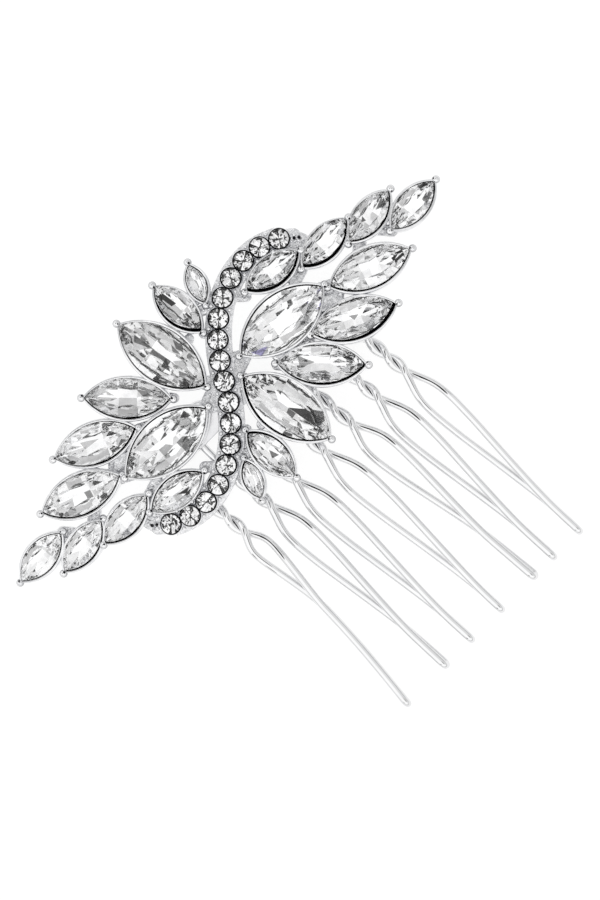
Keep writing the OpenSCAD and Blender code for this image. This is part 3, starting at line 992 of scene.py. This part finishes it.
def eye_point(tooth, strand, s):
    share = s / TOOTH_LENGTH
    open_half = tooth.eye_half_width * eye_width(s / tooth.eye_length)
    half = open_half - STRAND_R * sine(tooth.tip_turn) * share**4
    middle = tooth.crossing_x + tooth.tip_shift * share + tooth.sway * math.sin(math.pi * share)
    level = wire_level(tooth)
    fall = (TIP_LEVEL - level) * share**TIP_BEND_POWER
    swap = math.cos(math.pi * min(max(s / Z_SWAP_LENGTH, 0), 1))
    return np.array([middle - strand * half, LAST_CROSSING_Y - s, level + fall + strand * STRAND_R * swap])


def strand_down(tooth, strand, step=0.45):
    twist = [twist_point(tooth, strand, s) for s in np.arange(TWIST_START, 0, step)]
    eye = [eye_point(tooth, strand, s) for s in np.arange(0, EYE_END - 0.2, step)]
    return twist + eye


def tooth_path(tooth, rings=12):
    """Down one strand, round the tip, and up the other."""
    first, second = eye_point(tooth, 1, EYE_END), eye_point(tooth, -1, EYE_END)
    middle = (first + second) / 2
    tip = []
    for k in range(rings + 1):
        turn = math.pi * k / rings
        reach = (first - middle) * math.cos(turn)
        drop = (STRAND_R - 0.03) * math.sin(turn)
        tip.append(np.array([middle[0] + reach[0], middle[1] - drop, middle[2] + reach[2]]))
    return strand_down(tooth, 1) + tip + strand_down(tooth, -1)[::-1]


def arch_path(start, end, rings=28):
    """Up from the top of one twist, over a round arch, and down to the top of the next."""
    half = (end[0] - start[0]) / 2
    middle = (start + end) / 2
    spring_y = ARCH_TOP_Y - WIRE_D / 2 - half
    heights = np.arange(spring_y - 0.4, TWIST_TOP_Y, -0.5)
    rise = [np.array([start[0], y, start[2]]) for y in heights[::-1]]
    fall = [np.array([end[0], y, end[2]]) for y in heights]
    arch = []
    for k in range(rings + 1):
        t = math.pi * (1 - k / rings)
        arch.append(np.array([middle[0] + half * math.cos(t), spring_y + half * math.sin(t),
                              start[2] + (end[2] - start[2]) * k / rings]))
    return rise + arch + fall


def wire_path():
    path = []
    for tooth in TEETH:
        here = tooth_path(tooth)
        if path:
            path += arch_path(path[-1], here[0])
        path += here
    return np.array(path)


def seam_path(tooth, step=0.6):
    """Along the middle of a twist, between its two strands."""
    level = wire_level(tooth)
    return np.array([(tooth.crossing_x + TWIST_LEAN * s, LAST_CROSSING_Y - s, level)
                     for s in np.arange(TWIST_START, 0.6, step)])


def eased(path, rounds):
    """Takes the corners off a path, keeping its ends."""
    for _ in range(rounds):
        path[1:-1] = (path[:-2] + 2 * path[1:-1] + path[2:]) / 4
    return path


def swept(shell, path, radius, sides=20, kind=0):
    """A round bar along a path, which turns with it as little as it can."""
    along = np.gradient(path, axis=0)
    along /= np.linalg.norm(along, axis=1)[:, None]
    side = np.array([1.0, 0, 0])
    rings = []
    for k, (point, ahead) in enumerate(zip(path, along)):
        side = side - ahead * (side @ ahead)
        side /= np.linalg.norm(side)
        other = np.cross(ahead, side)
        from_end = min(k, len(path) - 1 - k)
        r = radius * END_TAPER[from_end] if from_end < len(END_TAPER) else radius
        rings.append([point + r * (math.cos(t) * side + math.sin(t) * other)
                      for t in (2 * math.pi * j / sides for j in range(sides))])
    shell.loft(rings, kind)


def lifted(points):
    """From heights above the casting's back to the part's frame."""
    return np.asarray(points) + np.array([0, CENTRE_Y, BACK_Z])


wire = Shell()
swept(wire, lifted(eased(wire_path(), 3)), WIRE_D / 2)
# A near-black bar down each twist's middle: painted shade between the strands
for tooth in TEETH:
    swept(wire, lifted(seam_path(tooth)), SEAM_RADIUS, 10, 1)
wire.piece("twisted_wire", [WIRE, PAINTED_DARK], ["comb_wire"], "wire_plating", sharp=60)


# ---- bridge plates
def bevelled_plate(node):
    """The CAD plate with its triangles joined and its edges rounded."""
    bm = bmesh.new()
    bm.from_mesh(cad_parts[node].data)
    bmesh.ops.remove_doubles(bm, verts=bm.verts, dist=0.00002)
    bmesh.ops.dissolve_limit(bm, angle_limit=0.02, verts=bm.verts, edges=bm.edges)
    edges = [e for e in bm.edges if e.calc_face_angle(0) > 1]
    bmesh.ops.bevel(bm, geom=edges, offset=PLATE_BEVEL * MM, segments=3, affect="EDGES", profile=0.6)
    mesh = bpy.data.meshes.new(node + "_bevelled")
    bm.to_mesh(mesh)
    bm.free()
    mesh.materials.append(PLATE)
    mesh.polygons.foreach_set("use_smooth", [True] * len(mesh.polygons))
    mesh.set_sharp_from_angle(angle=math.radians(50))
    shown(node + "_bevelled", mesh, [node])


for node in ("left_bridge_plate", "right_bridge_plate"):
    bevelled_plate(node)

# ---- floor
# Half of the floor's side in metres, and its own light, which takes away its shadows
FLOOR_REACH = 1.2
FLOOR_LIGHT = 0.86

floor_mesh = bpy.data.meshes.new("floor")
corners = [(x * FLOOR_REACH, y * FLOOR_REACH, 0) for x, y in ((-1, -1), (1, -1), (1, 1), (-1, 1))]
floor_mesh.from_pydata(corners, [], [(0, 1, 2, 3)])
floor = bpy.data.objects.new("floor", floor_mesh)
bpy.context.scene.collection.objects.link(floor)
paper = bpy.data.materials.new("floor_paper")
tree, shader = nodes_of(paper)
shader.inputs["Roughness"].default_value = 0.9
shader.inputs["Emission Color"].default_value = (1, 1, 1, 1)
shader.inputs["Emission Strength"].default_value = FLOOR_LIGHT
fibres = noise_node(tree, 30.0)
tree.links.new(ramp(tree, fibres, [(0.3, 0.2), (0.7, 0.22)]), shader.inputs["Base Color"])
floor_mesh.materials.append(paper)
floor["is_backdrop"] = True

# ---- light
TENT_STRENGTH = 1.24
# Light of the tent by the sine of the height
TENT = [(0.0, 0.45), (0.16, 0.55), (0.4, 0.94), (0.8, 1.0)]
# A card fades in between these shares of its reach, squared
CARD_EDGE = (0.75, 1.25)
# Grey and dark cards round the tent: compass angle and height of the middle, half width and half length in
# degrees, turn from level, light
CARDS = [
    (5, 44, 36, 50, 0, 0.74), (105, 67, 10, 20, 0, 0.01), (20, 40, 4, 9, 20, 0.1), (95, 28, 5, 7, 0, 0.2),
    (200, 33, 5, 10, 60, 0.1), (318, 58, 8, 12, 30, 0.03), (150, 58, 3, 6, 0, 0.3),
]


def math_node(tree, operation, first, second):
    node = tree.nodes.new("ShaderNodeMath")
    node.operation = operation
    tree.links.new(first, node.inputs[0])
    tree.links.new(second, node.inputs[1])
    return node.outputs["Value"]


def card_reach(tree, coords, axis, half):
    """How far a direction is along one axis of a card, squared, where the card's edge is 1."""
    dot = tree.nodes.new("ShaderNodeVectorMath")
    dot.operation = "DOT_PRODUCT"
    dot.inputs[1].default_value = axis / sine(half)
    tree.links.new(coords, dot.inputs[0])
    return math_node(tree, "MULTIPLY", dot.outputs["Value"], dot.outputs["Value"])


def behind_card(tree, coords, light, card):
    """The tent's light with one oval, soft-edged card hung in it."""
    compass, height, half_width, half_length, turn, card_light = card
    a, e, t = math.radians(compass), math.radians(height), math.radians(turn)
    level = Vector((-math.sin(a), math.cos(a), 0))
    rise = Vector((-math.cos(a) * math.sin(e), -math.sin(a) * math.sin(e), math.cos(e)))
    along = level * math.cos(t) + rise * math.sin(t)
    across = rise * math.cos(t) - level * math.sin(t)
    total = math_node(tree, "ADD", card_reach(tree, coords, across, half_width),
                      card_reach(tree, coords, along, half_length))
    edge = tree.nodes.new("ShaderNodeMapRange")
    edge.interpolation_type = "SMOOTHSTEP"
    edge.inputs["From Min"].default_value = CARD_EDGE[0]
    edge.inputs["From Max"].default_value = CARD_EDGE[1]
    edge.inputs["To Min"].default_value = card_light
    edge.inputs["To Max"].default_value = 1.0
    tree.links.new(total, edge.inputs["Value"])
    shade = tree.nodes.new("ShaderNodeVectorMath")
    shade.operation = "SCALE"
    tree.links.new(light, shade.inputs[0])
    tree.links.new(edge.outputs["Result"], shade.inputs["Scale"])
    return shade.outputs["Vector"]


def light_tent():
    world = bpy.data.worlds.new("studio")
    bpy.context.scene.world = world
    world.use_nodes = True
    tree = world.node_tree
    background = tree.nodes["Background"]
    coords = tree.nodes.new("ShaderNodeTexCoord").outputs["Generated"]
    split = tree.nodes.new("ShaderNodeSeparateXYZ")
    tree.links.new(coords, split.inputs["Vector"])
    light = ramp(tree, split.outputs["Z"], TENT)
    for card in CARDS:
        light = behind_card(tree, coords, light, card)
    tree.links.new(light, background.inputs["Color"])
    background.inputs["Strength"].default_value = TENT_STRENGTH


light_tent()
sc = bpy.context.scene
sc.view_settings.view_transform = "Standard"
# Light goes to and fro inside the stones
sc.cycles.max_bounces = 24
sc.cycles.glossy_bounces = 16
sc.cycles.transmission_bounces = 20

# ---- camera, in metres
DISTANCE = 0.8
FRAME_HEIGHT = 0.1539
AIM_X, AIM_PAST_MIDDLE = 0.0007, 0.0029
# The view from above leans towards the picture's right, and rolls a little
TILT, ROLL = math.radians(5), math.radians(-0.2)

low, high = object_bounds()
middle = (low + high) / 2
aim = Vector((AIM_X, middle.y + AIM_PAST_MIDDLE, middle.z))
camera = bpy.data.objects.new("camera", bpy.data.cameras.new("camera"))
sc.collection.objects.link(camera)
right = Vector((1, -1, 0)).normalized()
top = Vector((1, 1, 0)).normalized()
back = Vector((0, 0, 1)) * math.cos(TILT) + right * math.sin(TILT)
right = top.cross(back)
right, top = (right * math.cos(ROLL) + top * math.sin(ROLL), top * math.cos(ROLL) - right * math.sin(ROLL))
camera.matrix_world = Matrix((right, top, back)).transposed().to_4x4()
camera.location = aim + back * DISTANCE
camera.data.lens = camera.data.sensor_width * DISTANCE / FRAME_HEIGHT
camera.data.clip_start, camera.data.clip_end = 0.01, 10
sc.camera = camera
